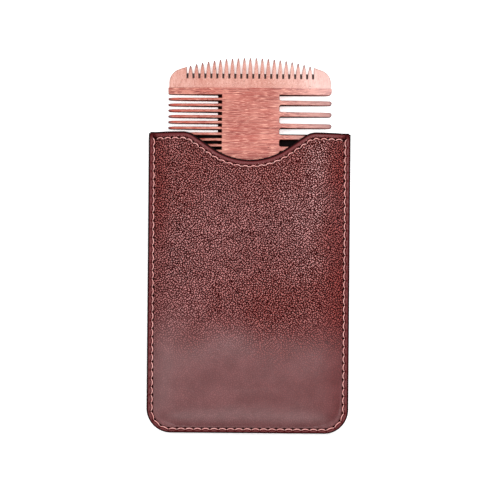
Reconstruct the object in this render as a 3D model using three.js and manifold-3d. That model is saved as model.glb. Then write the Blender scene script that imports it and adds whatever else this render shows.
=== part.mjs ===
// A wooden beard comb with teeth on four sides, half drawn out of a stitched leather sleeve.
//
// Units are millimetres. The part lies on its back: X runs across it, Y runs along it, out of the
// sleeve's mouth, and Z is up, from the back of the sleeve to its crowned front. The origin is under
// the middle of the whole part, on the surface that it lies on.
//
// Pieces: the comb is a body with a head and a foot tenoned and glued into it. The sleeve is two
// leather panels, each with a lining, a lockstitched seam round three sides and a lockstitched row
// along the front panel's mouth; each row has a needle thread and a bobbin thread.

import * as THREE from 'three';
import { mergeVertices } from 'three/addons/utils/BufferGeometryUtils.js';
import Module from 'manifold-3d';

// ---------- driving dimensions ----------

// sleeve outline
const SLEEVE_WIDTH = 81;
const SLEEVE_LENGTH = 120.5;
const BOTTOM_CORNER_R = 9.8;
const MOUTH_CORNER_R = 1;

// thumb notch in the front panel's mouth: two shoulders, two straight flanks and a round floor
const NOTCH_HALF_WIDTH = 26.6;
const NOTCH_SHOULDER_R = 8;
const NOTCH_FLOOR_R = 25.5;
const NOTCH_FLANK_ANGLE = THREE.MathUtils.degToRad(34.5);

// sleeve materials and their stack at the seam, from the back: leather, lining, lining, leather
const LEATHER = 1.1;
const LINING = 0.4;
const GLUE_LINE = 0.04;
const POCKET_LINE = 0.06;

// sleeve form: the back is flat but for its edges, which lift to the seam; the front is crowned
const SEAM_LIFT = 2;
const BACK_SWEEP = 12;
const CROWN = 4.3;
const CROWN_POWER = 6;

// stitching
const SIDE_INSET = 2.4;
const BOTTOM_INSET = 2;
const MOUTH_INSET = 2.5;
const SEAM_BITE = 0.8;
const THREAD_R = 0.22;
const THREAD_GAP = 0.15;
const THREAD_SIDES = 6;
const SEAM_STEPS = 96;
const MOUTH_STEPS = 48;

// comb
const COMB_LENGTH = 109.5;
const COMB_WIDTH = 65.4;
const DRAWN_OUT = 29.8;
const COMB_THICKNESS = 5;
const TIP_THICKNESS = 2;
const UNDER_COMB = 0.1;
const END_LENGTH = 12.1;
const END_NARROWER = 0.35;
const ARCH_R = 88;
const END_CORNER_R = 5.5;
const COLUMN_LEFT = -11.2;
const COLUMN_RIGHT = 11.8;

// teeth: pitch along the edge, slot width, length of the pointed or rounded part, width left at the tip
const LEFT_TEETH = { count: 34, firstAt: 16.7, slot: 1.1, point: 2.2, tip: 0.45, runOut: 1.7 };
const RIGHT_TEETH = { count: 17, firstAt: 18, slot: 2.7, point: 0.8, tip: 0.9, runOut: 0 };
const SIDE_FIRST_SLOT = 14.9;
const HEAD_TEETH = { count: 21, pitch: 2.39, slot: 0.7, depth: 8.4, point: 3.4, tip: 0.3, runOut: 2.4 };
const FOOT_TEETH = { count: 15, pitch: 3.35, slot: 1.3, depth: 8.4, point: 3, tip: 0.6, runOut: 2.4 };

// mortise and tenon at each end of the body
const TENON = { width: 18, depth: 5, thickness: 1.7 };
const JOINT_GAP = 0.05;

// ---------- derived places ----------

const OVERALL_LENGTH = SLEEVE_LENGTH + DRAWN_OUT;
const SLEEVE_BOTTOM = -OVERALL_LENGTH / 2;
const SLEEVE_TOP = SLEEVE_BOTTOM + SLEEVE_LENGTH;
const SEAM_X = SLEEVE_WIDTH / 2 - SIDE_INSET;
const SEAM_BOTTOM = SLEEVE_BOTTOM + BOTTOM_INSET;
const POCKET_HALF = SEAM_X - SEAM_BITE;
const POCKET_BOTTOM = SEAM_BOTTOM + SEAM_BITE;

// heights of each skin's under and upper face in the seam's stack, above the back panel's underside
const BACK_LINING_Z = LEATHER + GLUE_LINE;
const POCKET_FLOOR_Z = BACK_LINING_Z + LINING;
const FRONT_LINING_Z = POCKET_FLOOR_Z + POCKET_LINE;
const FRONT_PANEL_Z = FRONT_LINING_Z + LINING + GLUE_LINE;
const STACK = FRONT_PANEL_Z + LEATHER;

const COMB_TOP = SLEEVE_TOP + DRAWN_OUT;
const COMB_HALF = COMB_WIDTH / 2;
const COMB_Z = POCKET_FLOOR_Z + UNDER_COMB + COMB_THICKNESS / 2;

// ---------- solids ----------

// half the number of straight pieces in each arc
const CURVE_SEGMENTS = 6;

const wasm = await Module();
wasm.setup();

function solidOf(geometry) {
  const bare = geometry.clone();
  bare.deleteAttribute('normal');
  bare.deleteAttribute('uv');
  const merged = mergeVertices(bare, 1e-4);
  return new wasm.Manifold(new wasm.Mesh({
    numProp: 3,
    vertProperties: Float32Array.from(merged.attributes.position.array),
    triVerts: Uint32Array.from(merged.index.array),
  }));
}

function geometryOf(solid) {
  const mesh = solid.getMesh();
  const geometry = new THREE.BufferGeometry();
  geometry.setAttribute('position', new THREE.BufferAttribute(mesh.vertProperties, 3));
  geometry.setIndex(new THREE.BufferAttribute(mesh.triVerts, 1));
  geometry.computeVertexNormals();
  return geometry;
}

// a flat outline in X and Y, extruded from low to high
function prism(outline, low, high) {
  const geometry = new THREE.ExtrudeGeometry(outline, {
    depth: high - low,
    bevelEnabled: false,
    curveSegments: CURVE_SEGMENTS,
  });
  geometry.translate(0, 0, low);
  return solidOf(geometry);
}

function outlineOf(points) {
  return new THREE.Shape(points.map(([x, y]) => new THREE.Vector2(x, y)));
}

// an outline drawn in X and Z, extruded along Y from one place to another
function barAlongY(points, fromY, toY) {
  const geometry = new THREE.ExtrudeGeometry(outlineOf(points), { depth: toY - fromY, bevelEnabled: false });
  geometry.rotateX(Math.PI / 2);
  geometry.translate(0, toY, 0);
  return solidOf(geometry);
}

// an outline drawn in Y and Z, extruded along X from one place to another
function barAlongX(points, fromX, toX) {
  const geometry = new THREE.ExtrudeGeometry(outlineOf(points), { depth: toX - fromX, bevelEnabled: false });
  geometry.rotateY(Math.PI / 2);
  geometry.rotateX(Math.PI / 2);
  geometry.translate(fromX, 0, 0);
  return solidOf(geometry);
}

function block([x0, y0, z0], [x1, y1, z1]) {
  const geometry = new THREE.BoxGeometry(x1 - x0, y1 - y0, z1 - z0);
  geometry.translate((x0 + x1) / 2, (y0 + y1) / 2, (z0 + z1) / 2);
  return solidOf(geometry);
}

// ---------- sleeve form ----------

const FORM_COLUMNS = 10;
const FORM_ROWS = 9;
const FORM_CROWDING = 2;
const FORM_ROUNDING = 1.5;
const FORM_MARGIN = 1;

// 1 at the pocket's edge, falling to 0 where the sweep ends
function shortfall(inward, sweep, power) {
  return (1 - THREE.MathUtils.clamp(inward / sweep, 0, 1)) ** power;
}

// 0 along the pocket's edge, which this rounds at the corners, and 1 where the skin has its full height
function fullness(x, y, sweep, power) {
  const across = shortfall(POCKET_HALF - Math.abs(x), sweep, power);
  const along = shortfall(y - POCKET_BOTTOM, sweep, power);
  const both = (across ** FORM_ROUNDING + along ** FORM_ROUNDING) ** (1 / FORM_ROUNDING);
  return Math.max(0, 1 - both);
}

function backLift(x, y) {
  return SEAM_LIFT * (1 - fullness(x, y, BACK_SWEEP, 3));
}

function frontLift(x, y) {
  return SEAM_LIFT + CROWN * fullness(x, y, POCKET_HALF, CROWN_POWER);
}

// columns and rows of the form's grid, crowded towards the pocket's edge, where the skins bend most
function gridColumns() {
  const columns = [];
  for (let i = 0; i <= FORM_COLUMNS; i += 1) {
    columns.push(POCKET_HALF * (1 - (1 - i / FORM_COLUMNS) ** FORM_CROWDING));
  }
  columns.push(SLEEVE_WIDTH / 2 + FORM_MARGIN);
  return [...columns.slice(1).reverse().map((x) => -x), ...columns];
}

function gridRows() {
  const rows = [SLEEVE_BOTTOM - FORM_MARGIN];
  for (let j = 0; j <= FORM_ROWS; j += 1) {
    rows.push(POCKET_BOTTOM + POCKET_HALF * (j / FORM_ROWS) ** FORM_CROWDING);
  }
  rows.push(SLEEVE_TOP + FORM_MARGIN);
  return rows;
}

const COLUMNS = gridColumns();
const ROWS = gridRows();
const BELOW_ALL = -5;

// everything under a skin's face: a box whose top is the face's height over the form's grid
function upTo(lift, height) {
  const columns = COLUMNS.length - 1;
  const rows = ROWS.length - 1;
  const geometry = new THREE.BoxGeometry(columns, rows, 2, columns, rows, 1);
  const position = geometry.attributes.position;
  for (let i = 0; i < position.count; i += 1) {
    const x = COLUMNS[Math.round(position.getX(i) + columns / 2)];
    const y = ROWS[Math.round(position.getY(i) + rows / 2)];
    const z = position.getZ(i) > 0 ? lift(x, y) + height : BELOW_ALL;
    position.setXYZ(i, x, y, z);
  }
  return solidOf(geometry);
}

function skin(outline, lift, under, thickness) {
  const layer = upTo(lift, under + thickness).subtract(upTo(lift, under));
  return layer.intersect(prism(outline, BELOW_ALL, STACK + SEAM_LIFT + CROWN + FORM_MARGIN));
}

// ---------- sleeve outlines ----------

// the notch in the front mouth from left to right, set in from its edge; it starts and ends on the
// straight stretches beside the notch
function addNotch(path, inset) {
  const angle = NOTCH_FLANK_ANGLE;
  const shoulderR = NOTCH_SHOULDER_R - inset;
  const shoulderY = SLEEVE_TOP - NOTCH_SHOULDER_R;
  const floorR = NOTCH_FLOOR_R + inset;
  const bothR = NOTCH_SHOULDER_R + NOTCH_FLOOR_R;
  const flankRun = NOTCH_HALF_WIDTH - bothR * Math.sin(angle);
  const floorY = shoulderY + bothR * Math.cos(angle) - flankRun * Math.tan(angle);
  const up = Math.PI / 2;
  path.absarc(-NOTCH_HALF_WIDTH, shoulderY, shoulderR, up, up - angle, true);
  path.absarc(0, floorY, floorR, -up - angle, -up + angle, false);
  path.absarc(NOTCH_HALF_WIDTH, shoulderY, shoulderR, up + angle, up, true);
}

// a panel's outline, clockwise from its lower left corner
function panelOutline(notched) {
  const half = SLEEVE_WIDTH / 2;
  const cornerX = half - BOTTOM_CORNER_R;
  const cornerY = SLEEVE_BOTTOM + BOTTOM_CORNER_R;
  const mouthX = half - MOUTH_CORNER_R;
  const mouthY = SLEEVE_TOP - MOUTH_CORNER_R;
  const outline = new THREE.Shape();
  outline.moveTo(-half, cornerY);
  outline.lineTo(-half, mouthY);
  outline.absarc(-mouthX, mouthY, MOUTH_CORNER_R, Math.PI, Math.PI / 2, true);
  if (notched) {
    addNotch(outline, 0);
  }
  outline.absarc(mouthX, mouthY, MOUTH_CORNER_R, Math.PI / 2, 0, true);
  outline.absarc(cornerX, cornerY, BOTTOM_CORNER_R, 0, -Math.PI / 2, true);
  outline.absarc(-cornerX, cornerY, BOTTOM_CORNER_R, -Math.PI / 2, -Math.PI, true);
  return outline;
}

// ---------- threads ----------

// down the left side, round the bottom and up the right side
function seamRoute() {
  const r = BOTTOM_CORNER_R - SIDE_INSET;
  const route = new THREE.Path();
  route.moveTo(-SEAM_X, SLEEVE_TOP - MOUTH_INSET);
  route.lineTo(-SEAM_X, SEAM_BOTTOM + r);
  route.absarc(-SEAM_X + r, SEAM_BOTTOM + r, r, Math.PI, Math.PI * 1.5, false);
  route.absarc(SEAM_X - r, SEAM_BOTTOM + r, r, Math.PI * 1.5, Math.PI * 2, false);
  route.lineTo(SEAM_X, SLEEVE_TOP - MOUTH_INSET);
  return route;
}

// along the front mouth, short of the side seams
function mouthRoute(endX) {
  const route = new THREE.Path();
  route.moveTo(-endX, SLEEVE_TOP - MOUTH_INSET);
  route.lineTo(-NOTCH_HALF_WIDTH, SLEEVE_TOP - MOUTH_INSET);
  addNotch(route, MOUTH_INSET);
  route.lineTo(endX, SLEEVE_TOP - MOUTH_INSET);
  return route;
}

// a thread that lies on a skin: it follows the route, at the height that heightAt gives
function thread(route, steps, heightAt) {
  const points = route.getSpacedPoints(steps).map(({ x, y }) => new THREE.Vector3(x, y, heightAt(x, y)));
  const section = new THREE.Shape().absarc(0, 0, THREAD_R, 0, Math.PI * 2, false);
  return new THREE.ExtrudeGeometry(section, {
    extrudePath: new THREE.CatmullRomCurve3(points),
    steps,
    curveSegments: THREAD_SIDES / 2,
    bevelEnabled: false,
  });
}

// ---------- comb ----------
// The comb's own frame has its origin at the comb's middle, and each end piece's own frame at its peak.

const OVERCUT = 1;

// the comb's blank is thickest along its column and thins evenly to both sides
function crossProfile() {
  const thick = COMB_THICKNESS / 2;
  const thin = TIP_THICKNESS / 2;
  const upper = [[COMB_HALF, thin], [COLUMN_RIGHT, thick], [COLUMN_LEFT, thick], [-COMB_HALF, thin]];
  const lower = upper.map(([x, z]) => [x, -z]).reverse();
  return [...lower, ...upper];
}

// a row of teeth as the slots between them, along the edge from start to end: each slot has two
// sides, and each side that a tooth stands on flares to leave the tooth its tip width
function slotsBetween(centres, width, start, end, tip) {
  const flare = (width - tip) / 2;
  const slots = centres.map((centre, i) => ({
    low: i === 0 ? start : centres[i - 1] + width / 2,
    high: centre - width / 2,
    flareLow: i === 0 ? 0 : flare,
    flareHigh: flare,
  }));
  slots.push({ low: centres[centres.length - 1] + width / 2, high: end, flareLow: flare, flareHigh: 0 });
  return slots;
}

// the wedge that points the teeth beside a slot, as [along the edge, out to the tips]
function flareOutline(slot, from, to) {
  const reach = (to - from + OVERCUT) / (to - from);
  const out = to + OVERCUT;
  return [
    [slot.low, from],
    [slot.low - slot.flareLow * reach, out],
    [slot.high + slot.flareHigh * reach, out],
    [slot.high, from],
  ];
}

// a slot's floor runs from root on the front face to root + runOut on the back face
function slotProfile(root, runOut, out) {
  const slope = runOut / COMB_THICKNESS;
  const z = COMB_THICKNESS / 2 + OVERCUT;
  return [[root - slope * OVERCUT, z], [root + runOut + slope * OVERCUT, -z], [out, -z], [out, z]];
}

// the cuts for one side row; side is -1 on the left and 1 on the right
function sideCuts(teeth, side, root) {
  const pitch = (COMB_LENGTH - 2 * teeth.firstAt) / (teeth.count - 1);
  const width = pitch - teeth.slot;
  const first = teeth.firstAt - COMB_LENGTH / 2;
  const centres = Array.from({ length: teeth.count }, (_, i) => first + i * pitch);
  const end = COMB_LENGTH / 2 - SIDE_FIRST_SLOT;
  const profile = slotProfile(Math.abs(root), teeth.runOut, COMB_HALF + OVERCUT).map(([x, z]) => [side * x, z]);
  return slotsBetween(centres, width, -end, end, teeth.tip).map((slot) => {
    const flare = flareOutline(slot, COMB_HALF - teeth.point, COMB_HALF).map(([y, x]) => [side * x, y]);
    return barAlongY(profile, slot.low, slot.high)
      .add(prism(outlineOf(flare), -COMB_THICKNESS, COMB_THICKNESS));
  });
}

function combBody() {
  const end = COMB_LENGTH / 2 - END_LENGTH - JOINT_GAP;
  const mortiseEnd = end - TENON.depth - JOINT_GAP;
  const mortiseX = TENON.width / 2 + JOINT_GAP;
  const mortiseZ = TENON.thickness / 2 + JOINT_GAP;
  let body = barAlongY(crossProfile(), -end, end);
  const cuts = [
    ...sideCuts(LEFT_TEETH, -1, COLUMN_LEFT),
    ...sideCuts(RIGHT_TEETH, 1, COLUMN_RIGHT),
    block([-mortiseX, mortiseEnd, -mortiseZ], [mortiseX, end + OVERCUT, mortiseZ]),
    block([-mortiseX, -end - OVERCUT, -mortiseZ], [mortiseX, -mortiseEnd, mortiseZ]),
  ];
  for (const cut of cuts) {
    body = body.subtract(cut);
  }
  return body;
}

// the outline of an end piece: straight sides, round corners and a wide arch through its peak
function endOutline() {
  const half = COMB_HALF - END_NARROWER;
  const cornerX = half - END_CORNER_R;
  const cornerRise = Math.sqrt((ARCH_R - END_CORNER_R) ** 2 - cornerX ** 2);
  const turn = Math.atan2(cornerRise, cornerX);
  const outline = new THREE.Shape();
  outline.moveTo(-half, -END_LENGTH);
  outline.lineTo(-half, cornerRise - ARCH_R);
  outline.absarc(-cornerX, cornerRise - ARCH_R, END_CORNER_R, Math.PI, Math.PI - turn, true);
  outline.absarc(0, -ARCH_R, ARCH_R, Math.PI - turn, turn, true);
  outline.absarc(cornerX, cornerRise - ARCH_R, END_CORNER_R, turn, 0, true);
  outline.lineTo(half, -END_LENGTH);
  return outline;
}

function archDrop(x) {
  return Math.sqrt(ARCH_R ** 2 - x ** 2) - ARCH_R;
}

// the cuts for an end piece's row of short pointed teeth
function endCuts(teeth) {
  const centres = Array.from({ length: teeth.count }, (_, i) => (i - (teeth.count - 1) / 2) * teeth.pitch);
  const width = teeth.pitch - teeth.slot;
  const end = (teeth.count * teeth.pitch + teeth.slot) / 2;
  return slotsBetween(centres, width, -end, end, teeth.tip).map((slot) => {
    const tip = archDrop((slot.low + slot.high) / 2);
    return barAlongX(slotProfile(-teeth.depth, teeth.runOut, OVERCUT), slot.low, slot.high)
      .add(prism(outlineOf(flareOutline(slot, tip - teeth.point, tip)), -COMB_THICKNESS, COMB_THICKNESS));
  });
}

function combEnd(teeth) {
  const thick = COMB_THICKNESS / 2;
  const thin = TIP_THICKNESS / 2;
  const bevel = [[-END_LENGTH, -thick], [0, -thin], [0, thin], [-END_LENGTH, thick]];
  let end = prism(endOutline(), -COMB_THICKNESS, COMB_THICKNESS)
    .intersect(barAlongY(crossProfile(), -END_LENGTH - OVERCUT, OVERCUT))
    .intersect(barAlongX(bevel, -COMB_HALF - OVERCUT, COMB_HALF + OVERCUT));
  for (const cut of endCuts(teeth)) {
    end = end.subtract(cut);
  }
  const tenonX = TENON.width / 2;
  const tenonZ = TENON.thickness / 2;
  return end.add(block([-tenonX, -END_LENGTH - TENON.depth, -tenonZ], [tenonX, OVERCUT - END_LENGTH, tenonZ]));
}

// ---------- assembly ----------

const MATERIALS = {
  leather: new THREE.MeshStandardMaterial({ color: 0x5a1f20, roughness: 0.5, metalness: 0 }),
  lining: new THREE.MeshStandardMaterial({ color: 0x120809, roughness: 0.95, metalness: 0 }),
  yarn: new THREE.MeshStandardMaterial({ color: 0xc47f7c, roughness: 0.7, metalness: 0 }),
  wood: new THREE.MeshStandardMaterial({ color: 0xcb7b70, roughness: 0.55, metalness: 0 }),
  paleWood: new THREE.MeshStandardMaterial({ color: 0xe4ab9e, roughness: 0.55, metalness: 0 }),
};

function named(name, geometry, material) {
  const mesh = new THREE.Mesh(geometry, material);
  mesh.name = name;
  return mesh;
}

function panels() {
  const back = panelOutline(false);
  const front = panelOutline(true);
  const { leather, lining } = MATERIALS;
  return [
    named('back_panel', geometryOf(skin(back, backLift, 0, LEATHER)), leather),
    named('back_lining', geometryOf(skin(back, backLift, BACK_LINING_Z, LINING)), lining),
    named('front_lining', geometryOf(skin(front, frontLift, FRONT_LINING_Z, LINING)), lining),
    named('front_panel', geometryOf(skin(front, frontLift, FRONT_PANEL_Z, LEATHER)), leather),
  ];
}

function threads() {
  const off = THREAD_R + THREAD_GAP;
  const seam = seamRoute();
  const onFront = (x, y) => frontLift(x, y) + STACK + off;
  const underBack = (x, y) => backLift(x, y) - off;
  const underFrontLining = (x, y) => frontLift(x, y) + FRONT_LINING_Z - off;
  const { yarn } = MATERIALS;
  return [
    named('seam_thread', thread(seam, SEAM_STEPS, onFront), yarn),
    named('seam_bobbin_thread', thread(seam, SEAM_STEPS, underBack), yarn),
    named('mouth_thread', thread(mouthRoute(POCKET_HALF), MOUTH_STEPS, onFront), yarn),
    named('mouth_bobbin_thread', thread(mouthRoute(POCKET_HALF - SEAM_BITE), MOUTH_STEPS, underFrontLining), yarn),
  ];
}

function comb() {
  const head = named('comb_head', geometryOf(combEnd(HEAD_TEETH)), MATERIALS.paleWood);
  const foot = named('comb_foot', geometryOf(combEnd(FOOT_TEETH)), MATERIALS.paleWood);
  head.position.y = COMB_LENGTH / 2;
  foot.position.y = -COMB_LENGTH / 2;
  foot.rotation.z = Math.PI;
  const group = new THREE.Group();
  group.add(named('comb_body', geometryOf(combBody()), MATERIALS.wood), head, foot);
  group.position.set(0, COMB_TOP - COMB_LENGTH / 2, COMB_Z);
  return group;
}

const part = new THREE.Group();
part.add(...panels(), ...threads(), comb());

export default part;
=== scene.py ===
"""A wooden beard comb with teeth on four sides, partly drawn out of a stitched leather sleeve.

Lengths are millimetres until mesh_object() makes them the frame's metres. X runs across the part, Y along
it and out of the sleeve's mouth, and Z up from the table to the sleeve's crowned front.
"""

import math

import bpy
import numpy as np
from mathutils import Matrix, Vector
from mathutils.geometry import delaunay_2d_cdt
from mathutils.kdtree import KDTree


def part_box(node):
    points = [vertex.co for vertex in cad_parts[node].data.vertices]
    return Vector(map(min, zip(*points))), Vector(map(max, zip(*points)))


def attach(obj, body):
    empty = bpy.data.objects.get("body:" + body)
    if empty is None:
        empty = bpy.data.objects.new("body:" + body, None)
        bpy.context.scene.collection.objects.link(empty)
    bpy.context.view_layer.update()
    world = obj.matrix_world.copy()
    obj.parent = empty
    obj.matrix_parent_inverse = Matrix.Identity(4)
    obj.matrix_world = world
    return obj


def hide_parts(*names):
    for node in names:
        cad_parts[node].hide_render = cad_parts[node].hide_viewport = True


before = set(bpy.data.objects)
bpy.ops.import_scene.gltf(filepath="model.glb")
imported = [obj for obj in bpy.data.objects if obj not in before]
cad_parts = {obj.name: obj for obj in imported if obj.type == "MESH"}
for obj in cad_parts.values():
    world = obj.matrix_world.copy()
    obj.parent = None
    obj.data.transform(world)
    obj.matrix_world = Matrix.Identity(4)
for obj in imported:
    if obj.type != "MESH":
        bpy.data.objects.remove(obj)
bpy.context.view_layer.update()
MM = 0.001

# ---------- places taken from the frame ----------


def cad_box(node):
    """The lowest and highest corner of a CAD node, in millimetres."""
    return [np.array(corner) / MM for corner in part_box(node)]


SLEEVE_LOW, SLEEVE_HIGH = cad_box("back_panel")
BODY_LOW, BODY_HIGH = cad_box("comb_body")
HEAD_HIGH = cad_box("comb_head")[1]
FOOT_LOW = cad_box("comb_foot")[0]

SLEEVE_HALF = SLEEVE_HIGH[0]
SLEEVE_BOTTOM = SLEEVE_LOW[1]
SLEEVE_TOP = SLEEVE_HIGH[1]
COMB_TOP = HEAD_HIGH[1]
COMB_FOOT = FOOT_LOW[1]
COMB_LENGTH = COMB_TOP - COMB_FOOT
COMB_MIDDLE = (COMB_TOP + COMB_FOOT) / 2
COMB_HALF = BODY_HIGH[0]
COMB_THICKNESS = BODY_HIGH[2] - BODY_LOW[2]
COMB_Z = (BODY_HIGH[2] + BODY_LOW[2]) / 2
BODY_HALF_LENGTH = (BODY_HIGH[1] - BODY_LOW[1]) / 2
END_HALF = HEAD_HIGH[0]

# ---------- sleeve dimensions ----------

BOTTOM_CORNER_R = 9.8
MOUTH_CORNER_R = 1.0
NOTCH_HALF_WIDTH = 26.6
NOTCH_SHOULDER_R = 8.0
NOTCH_FLOOR_R = 25.5
NOTCH_FLANK_ANGLE = math.radians(34.5)

LEATHER = 1.1
LINING = 0.4
GLUE_LINE = 0.04
POCKET_LINE = 0.06
SEAM_LIFT = 2.0
BACK_SWEEP = 12.0
CROWN = 4.3
CROWN_POWER = 6
FORM_ROUNDING = 1.5

SIDE_INSET = 2.4
BOTTOM_INSET = 2.0
MOUTH_INSET = 2.5
SEAM_BITE = 0.8

SEAM_X = SLEEVE_HALF - SIDE_INSET
SEAM_BOTTOM = SLEEVE_BOTTOM + BOTTOM_INSET
POCKET_HALF = SEAM_X - SEAM_BITE
POCKET_BOTTOM = SEAM_BOTTOM + SEAM_BITE
BACK_LINING_Z = LEATHER + GLUE_LINE
POCKET_FLOOR_Z = BACK_LINING_Z + LINING
FRONT_LINING_Z = POCKET_FLOOR_Z + POCKET_LINE
FRONT_PANEL_Z = FRONT_LINING_Z + LINING + GLUE_LINE
STACK = FRONT_PANEL_Z + LEATHER

# what the cut edges lose to their coat of edge paint, and how the leather rolls over towards it
EDGE_COAT = 0.3
PAINT_LAP = 0.4
ROLL_WIDTH = 2.0
ROLL_DROP = 0.32
MOUTH_ROLL_WIDTH = 2.3
MOUTH_ROLL_DROP = 0.5
RIM_ROUNDING = 0.3
LINING_RIM_ROUNDING = 0.1
UNDERSIDE_RIM_SHARE = 0.6

# the coat laps in over the edge, stands a little proud of the rolled leather, and ends short of the
# mouth's corners
COAT_LAP = 0.25
SIDE_COAT_PROUD = 0.03
MOUTH_COAT_PROUD = 0.04
SIDE_COAT_SHORT = 0.5
MOUTH_COAT_SHORT = 0.4

# shades on the leather, which darken its colour (painted shade in the groove and holes, the border's partly
# painted shade, and the edge paint's lap): how strong they are, how far they take to fade out, and how far
# from the other face a point has to be to count as on this one
SIDE_BORDER_SHADE = 0.85
BORDER_FADE = 0.9
PAINT_FADE = 0.15
GROOVE_SHADE = 0.8
FACE_MARGIN = 0.2

# distances between the meshes' points, which are fine as far as ROW_REACH beside a row of stitches
ROW_REACH = 1.4
FRONT_STEPS = {"fine": 0.2, "coarse": 0.75}
BACK_STEPS = {"fine": 0.25, "coarse": 1.2}
LINING_STEP = 1.1
LINING_MARGIN = 0.6

# stitching: holes a pitch apart; between two holes the thread lies on the leather, and at each hole it
# swings out and dives, so that the open side of the hole shows dark beside it
SEAM_PITCH = 3.3
MOUTH_PITCH = 3.06
SEAM_SWING = 0.75
MOUTH_SWING = 0.8
SWING_POWER = 2.2
DIVE = 1.0
DIVE_POWER = 2.8
PLY_COUNT = 3
PLY_R = 0.095
PLY_OFFSET = 0.095
PLY_LAY = 1.3
STITCH_STEPS = 22
PLY_SIDES = 7
GROOVE_DEPTH = 0.16
GROOVE_WIDTH = 0.6
HOLE_DEPTH = 0.75
HOLE_ALONG = 0.72
HOLE_ACROSS = 0.5
HOLE_SWING_SHARE = 0.2
PLY_REST_SHARE = 0.6
BOBBIN_SWING_SHARE = 0.3

# ---------- comb dimensions ----------

END_LENGTH = 12.1
ARCH_R = 88.0
END_CORNER_R = 5.5
COLUMN_LEFT = -11.2
COLUMN_RIGHT = 11.8
TIP_THICKNESS = 2.0
SIDE_FIRST_SLOT = 14.9

# how far the edges are rounded. A face starts CAP_MARGIN inside its rounded edge, and a point that is NEAR a
# line counts as on it.
SIDE_TOOTH_EASED_EDGE = 0.3
END_TOOTH_EASED_EDGE = 0.18
RIM_EASED_EDGE = 0.5
JOINT_EASED_EDGE = 0.05
CAP_MARGIN = 0.05
NEAR = 0.01

# shades on the wood: EDGE_SHADE, painted shade with some darker saw-cut end grain, goes from a face round its
# eased edge to the wall, less so on the rim and in the end rows. The tip and ruddy shades fade out over their
# reach, and END_BAND has no teeth.
EDGE_SHADE = (0, 0.2, 0.5, 0.8, 1)
RIM_SHADE = 0.7
END_SAWN_SHADE = 0.85
END_BAND = 2.6
SIDE_TIP_SHADE_REACH = 2.4
END_TIP_SHADE_REACH = 2.0
RUDDY_REACH = 4

# rows of teeth. A slot is the gap between two teeth. A tooth narrows over its point to a round tip, later for
# a greater fullness. A slot's floor runs out farther on the back than on the front. block_r rounds the block
# beside a row, and root_r the corners of a slot's floor.
LEFT_TEETH = {
    "count": 34, "first_at": 16.7, "slot": 1.18, "run_out": 1.7, "block_r": 0.6,
    "point": 2.4, "tip_r": 0.42, "fullness": 2.4, "root_r": 0.15,
}
RIGHT_TEETH = {
    "count": 17, "first_at": 18.0, "slot": 2.7, "run_out": 0.0, "block_r": 1.5,
    "point": 1.2, "tip_r": 0.8, "fullness": 2.2, "root_r": 0.7,
}
HEAD_TEETH = {
    "count": 21, "pitch": 2.39, "slot": 0.7, "run_out": 2.4, "depth": 8.4,
    "point": 8.0, "tip_r": 0.3, "fullness": 2.2, "root_r": 0.1,
}
FOOT_TEETH = {
    "count": 15, "pitch": 3.35, "slot": 1.3, "run_out": 2.4, "depth": 8.4,
    "point": 7.8, "tip_r": 0.34, "fullness": 2.0, "root_r": 0.2,
}

# ---------- plane geometry ----------

UP = math.pi / 2


def arc(centre, radius, start, end, step=0.4):
    """Points along an arc from one angle to another."""
    count = max(3, math.ceil(abs(end - start) * radius / step))
    turns = np.linspace(start, end, count + 1)
    return np.column_stack([centre[0] + radius * np.cos(turns), centre[1] + radius * np.sin(turns)])


def spaced(points, step, closed=False):
    """The same line with its points a step apart."""
    points = np.asarray(points, float)
    if closed:
        points = np.vstack([points, points[:1]])
    runs = np.concatenate([[0], np.cumsum(np.hypot(*np.diff(points, axis=0).T))])
    count = max(2, round(runs[-1] / step))
    at = np.linspace(0, runs[-1], count + 1)
    line = np.column_stack([np.interp(at, runs, points[:, 0]), np.interp(at, runs, points[:, 1])])
    return line[:-1] if closed else line


def inset_loop(loop, amount):
    """A closed anticlockwise loop moved inwards by an amount, or one for each point, its corners mitred."""
    ahead = np.roll(loop, -1, axis=0) - loop
    ahead /= np.hypot(*ahead.T)[:, None]
    left = np.column_stack([-ahead[:, 1], ahead[:, 0]])
    before = np.roll(left, 1, axis=0)
    share = 1 + np.sum(left * before, axis=1)
    return loop + (amount / share)[:, None] * (left + before)


class Line:
    """A line in the plane that says how far off other points are, how far along and on which side."""

    def __init__(self, points, closed=False):
        self.points = np.asarray(points, float)
        self.closed = closed
        ring = np.vstack([self.points, self.points[:1]]) if closed else self.points
        self.steps = np.diff(ring, axis=0)
        self.lengths = np.hypot(*self.steps.T)
        self.runs = np.concatenate([[0], np.cumsum(self.lengths)])
        self.tree = KDTree(len(self.points))
        for i, (x, y) in enumerate(self.points):
            self.tree.insert((x, y, 0), i)
        self.tree.balance()

    def nearest(self, points):
        """For each point: its distance, how far along, and its side (+1 is the left)."""
        first = np.array([self.tree.find((x, y, 0))[1] for x, y in points])
        answers = []
        for piece in (first - 1, first):
            piece = piece % len(self.steps) if self.closed else np.clip(piece, 0, len(self.steps) - 1)
            gap = points - self.points[piece]
            step = self.steps[piece]
            share = np.clip(np.sum(gap * step, axis=1) / self.lengths[piece] ** 2, 0, 1)
            distance = np.hypot(*(gap - share[:, None] * step).T)
            side = np.sign(step[:, 0] * gap[:, 1] - step[:, 1] * gap[:, 0])
            answers.append(np.column_stack([distance, self.runs[piece] + share * self.lengths[piece], side]))
        closer = answers[0][:, 0] < answers[1][:, 0]
        return np.where(closer[:, None], answers[0], answers[1]).T

    def well_inside(self, points, margin):
        """The points that are inside a closed anticlockwise line by more than a margin."""
        distance, _, side = self.nearest(points)
        return points[(side > 0) & (distance > margin)]


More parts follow.
